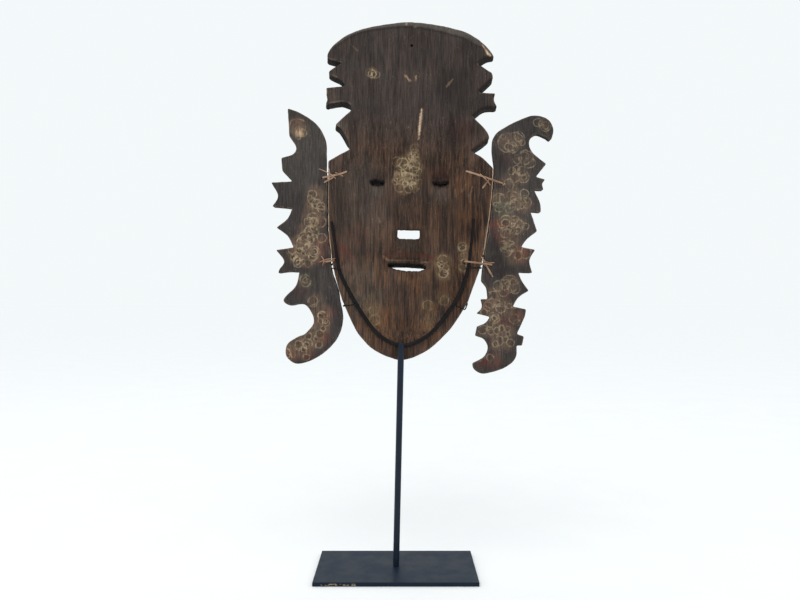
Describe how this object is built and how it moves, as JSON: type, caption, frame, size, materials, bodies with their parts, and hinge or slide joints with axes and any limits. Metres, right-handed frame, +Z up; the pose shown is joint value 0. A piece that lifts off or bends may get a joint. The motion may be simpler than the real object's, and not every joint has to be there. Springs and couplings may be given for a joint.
{
  "type": "tribal mask",
  "caption": "Carved wooden board mask with a serrated crown and toothed ear panels tied on at the sides, held upright by a black steel rod and cradle on a flat base.",
  "frame": {"origin": "centre of the base plate's underside", "axes": "+Z up; +Y the way the carved face looks; +X to the right of someone who looks at the hollow back"},
  "size_m": [0.3636, 0.1126, 0.7022],
  "materials": {
    "mask_wood": "old dark wood, worn and unvarnished",
    "ear_wood": "old grey-brown wood with pale ring stains",
    "rattan": "split rattan, dry and light tan",
    "black_steel": "matte black paint"
  },
  "bodies": {
    "root": {"mask": "mask_wood", "ear_left": "ear_wood", "ear_right": "ear_wood", "tie_upper_left": "rattan", "tie_lower_left": "rattan", "tie_upper_right": "rattan", "tie_lower_right": "rattan", "base_plate": "black_steel", "rod": "black_steel", "cradle": "black_steel", "hook_upper_left": "black_steel", "hook_lower_left": "black_steel", "hook_upper_right": "black_steel", "hook_lower_right": "black_steel"}
  },
  "joints": []
}
